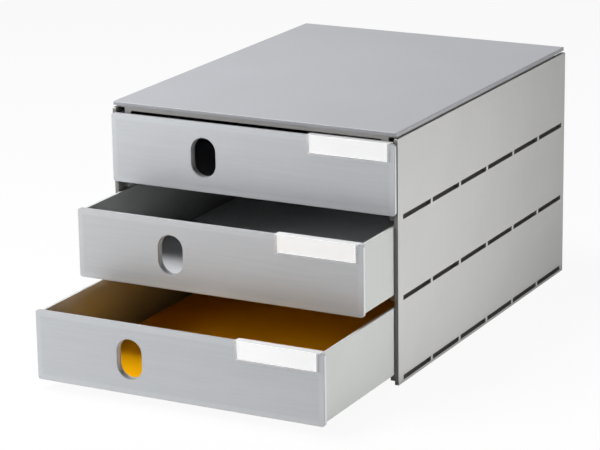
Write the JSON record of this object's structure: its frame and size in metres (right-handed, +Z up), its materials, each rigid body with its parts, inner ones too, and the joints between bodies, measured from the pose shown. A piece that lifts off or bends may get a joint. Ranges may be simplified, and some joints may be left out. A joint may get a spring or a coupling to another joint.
{
  "type": "desktop file drawer box",
  "caption": "Low desktop box with sliding file drawers, each with a finger hole and a label holder in its front.",
  "frame": {"origin": "centre of the case's footprint, on the surface that it stands on", "axes": "+X to the right seen from the front, +Y to the back, +Z up; the drawers slide out along -Y"},
  "size_m": [0.246, 0.4483, 0.1965],
  "materials": {
    "cover": "light cool grey moulded plastic, smooth satin",
    "deck": "grey moulded plastic, matte, seen only as the shadow line and lip under the cover",
    "side_panel": "light warm grey moulded plastic, fine matte grain",
    "inner_panel": "grey moulded plastic, matte",
    "foot_pad": "dark grey non-slip rubber",
    "tray": "light grey moulded plastic, fine matte grain",
    "drawer_front": "silver-grey plastic with a faint sideways brushed grain, satin",
    "label_holder": "pale translucent plastic, glossy",
    "label_card": "plain white card, blank",
    "grey_liner": "light grey sheet, fine matte grain",
    "yellow_liner": "warm yellow-orange sheet, fine matte grain"
  },
  "bodies": {
    "case": {"top_cover": "cover", "top_deck": "deck", "left_side_panel": "side_panel", "right_side_panel": "side_panel", "rear_panel": "inner_panel", "base_panel": "inner_panel", "foot_pad_front_left": "foot_pad", "foot_pad_front_right": "foot_pad", "foot_pad_rear_left": "foot_pad", "foot_pad_rear_right": "foot_pad"},
    "top_drawer": {"top_drawer_tray": "tray", "top_drawer_front": "drawer_front", "top_label_holder": "label_holder", "top_label_card": "label_card", "top_floor_liner": "grey_liner"},
    "middle_drawer": {"middle_drawer_tray": "tray", "middle_drawer_front": "drawer_front", "middle_label_holder": "label_holder", "middle_label_card": "label_card", "middle_floor_liner": "grey_liner"},
    "bottom_drawer": {"bottom_drawer_tray": "tray", "bottom_drawer_front": "drawer_front", "bottom_label_holder": "label_holder", "bottom_label_card": "label_card", "bottom_floor_liner": "yellow_liner"}
  },
  "joints": [
    {"name": "top_drawer_slide", "type": "slide", "parent": "case", "child": "top_drawer", "axis": [0, -1, 0], "range_m": [0, 0.24]},
    {"name": "middle_drawer_slide", "type": "slide", "parent": "case", "child": "middle_drawer", "axis": [0, -1, 0], "range_m": [-0.053, 0.187]},
    {"name": "bottom_drawer_slide", "type": "slide", "parent": "case", "child": "bottom_drawer", "axis": [0, -1, 0], "range_m": [-0.1165, 0.1235]}
  ]
}
